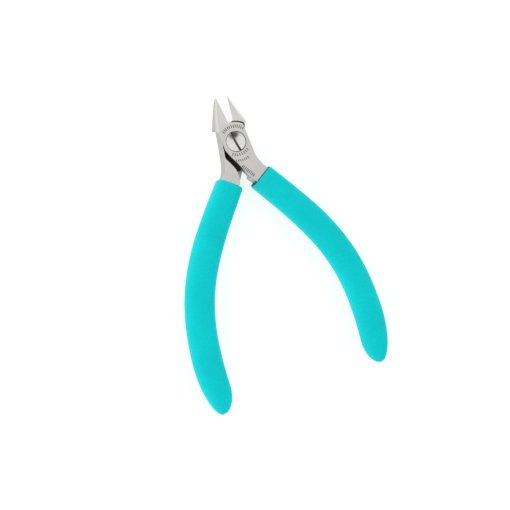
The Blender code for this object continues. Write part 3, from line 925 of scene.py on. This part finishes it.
def makeGrip(name, node, body, side, angle, foam, mouthShadeFoam):
    g, h = gripShape, handleShape
    length = handleRun[-1] + g["overhang"][side]
    bm = bmesh.new()

    def outerRing(distance, drawnIn=0.0):
        outer, inner, height = gripSizes(distance, length)
        return sectionRing(bm, side, distance, outer - drawnIn, inner - drawnIn, height - drawnIn,
                           gripPower(distance), g["sides"])

    outerRings = []
    steps = g["lipSteps"]
    for i in range(steps):
        roll = math.pi / 2 * i / steps
        outerRings.append(outerRing(g["lip"] * (1 - math.cos(roll)),
                                    g["lipDrawIn"] * (1 - math.sin(roll)) ** 1.2))
    turn = length - g["outerRound"]
    steps = g["bodySteps"]
    for i in range(1, steps + 1):
        outerRings.append(outerRing(g["lip"] + (turn - g["lip"]) * i / steps))
    steps = g["endSteps"]
    for i in range(1, steps):
        outerRings.append(outerRing(turn + g["outerRound"] * math.sin(math.pi / 2 * i / steps)))
    innerRings = []
    mouth = [size + g["mouthGap"] for size in (h["shankOuter"], h["shankInner"], steelShape["thick"] / 2)]
    for distance in (0.0, 0.9 * mm, 1.8 * mm, h["shankEnd"] + 0.6 * mm):
        innerRings.append(sectionRing(bm, side, distance, *mouth, g["mouthHoleSquareness"],
                                      g["sides"]))
    gap = steelShape["gap"]
    hollow = [sizes for sizes in tangSizes(gap) if sizes[0] > h["shankEnd"] + 2 * mm]
    hollow[-1] = (hollow[-1][0] + gap, *hollow[-1][1:])      # clear of the tang's end as well
    for distance, width, height in hollow:
        innerRings.append(sectionRing(bm, side, distance, width, width, height,
                                      g["tangHoleSquareness"], g["sides"]))
    mouthShade = g["mouthShadeRings"][side]
    # the front grip's mouth rings take the painted shade
    if mouthShade:
        bridge(bm, [innerRings[0], *outerRings[:mouthShade + 1]])
        for face in bm.faces:
            face.material_index = 1
    else:
        bridge(bm, [innerRings[0], outerRings[0]])
    bridge(bm, outerRings[mouthShade:])
    bridge(bm, list(reversed(innerRings)))
    tipPoint, _ = handleStation(length - 0.01 * mm)
    tip = bm.verts.new((side * tipPoint.x, tipPoint.y, steelShape["lapHeight"]))
    for i in range(g["sides"]):
        bm.faces.new((outerRings[-1][i], outerRings[-1][(i + 1) % g["sides"]], tip))
    bm.faces.new(innerRings[-1])
    bm.transform(Matrix.Rotation(angle, 4, "Z"))
    grip = newPiece(name, bm, [foam, mouthShadeFoam] if mouthShade else [foam])
    smoothLook(grip, angle=60)
    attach(grip, body)
    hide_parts(node)
    print(name, "made,", len(grip.data.polygons), "faces")


foam = makeFoam()
mouthShadeFoam = makeMouthShadeFoam()
makeGrip("rearGrip", "rear_grip", "rear_half", 1, -steelShape["halfOpening"], foam, mouthShadeFoam)
makeGrip("frontGrip", "front_grip", "front_half", -1, steelShape["halfOpening"], foam, mouthShadeFoam)


# floor, light and camera

studio = {
    "floorColour": (0.4, 0.4, 0.4),
    "floorGlow": 0.74,
    "sky": (0.84, 0.84, 0.84),          # all round, except for the card
    "shade": (0.04, 0.04, 0.04),        # a dark card hung over the handles
    "shadePlace": (0.30, -0.48, 0.82),
    "shadeReach": (0.90, 0.95),
    "keyPower": 0.35,
    "keySize": 0.3,
    "keyPlace": (-0.45, 0.15, 0.45),
    "floorSize": 4.0,
}

cameraView = {
    "sensor": 36.0,
    "lens": 97.3,
    "place": (-0.1500, -0.0435, 0.4891),
    "turn": (0.0850, -0.2793, -0.2895),
}


def makeStudio():
    low, high = cadBox
    bm = bmesh.new()
    bmesh.ops.create_grid(bm, x_segments=8, y_segments=8, size=studio["floorSize"] / 2)
    finish, shader = newFinish("pale floor")
    shader.inputs["Base Color"].default_value = (*studio["floorColour"], 1)
    shader.inputs["Roughness"].default_value = 0.9
    shader.inputs["Specular IOR Level"].default_value = 0.1
    shader.inputs["Emission Color"].default_value = (1, 1, 1, 1)
    shader.inputs["Emission Strength"].default_value = studio["floorGlow"]
    floor = newPiece("floor", bm, [finish])
    floor.location = ((low.x + high.x) / 2, (low.y + high.y) / 2, low.z)
    world = bpy.data.worlds.new("studio")
    world.use_nodes = True
    where = addNode(world, "ShaderNodeTexCoord")
    dot = addNode(world, "ShaderNodeVectorMath", operation="DOT_PRODUCT")
    wire(world, where.outputs["Generated"], dot.inputs[0])
    dot.inputs[1].default_value = studio["shadePlace"]
    dark = between(world, dot.outputs["Value"], 0.0, 1.0, *studio["shadeReach"])
    wire(world, tint(world, dark, studio["sky"], studio["shade"]),
         world.node_tree.nodes["Background"].inputs["Color"])
    scene.world = world
    lamp = bpy.data.lights.new("key light", "AREA")
    lamp.energy = studio["keyPower"]
    lamp.size = studio["keySize"]
    light = bpy.data.objects.new("key light", lamp)
    light.location = studio["keyPlace"]
    middle = Vector(((low.x + high.x) / 2, (low.y + high.y) / 2, 0))
    light.rotation_euler = (middle - light.location).to_track_quat("-Z", "Y").to_euler()
    scene.collection.objects.link(light)
    scene.view_settings.view_transform = "Standard"


def makeCamera():
    lens = bpy.data.cameras.new("camera")
    lens.sensor_width = cameraView["sensor"]
    lens.lens = cameraView["lens"]
    lens.clip_start = 0.01
    lens.clip_end = 20.0
    camera = bpy.data.objects.new("camera", lens)
    camera.location = cameraView["place"]
    camera.rotation_euler = cameraView["turn"]
    scene.collection.objects.link(camera)
    scene.camera = camera


makeStudio()
makeCamera()
print("studio ready")
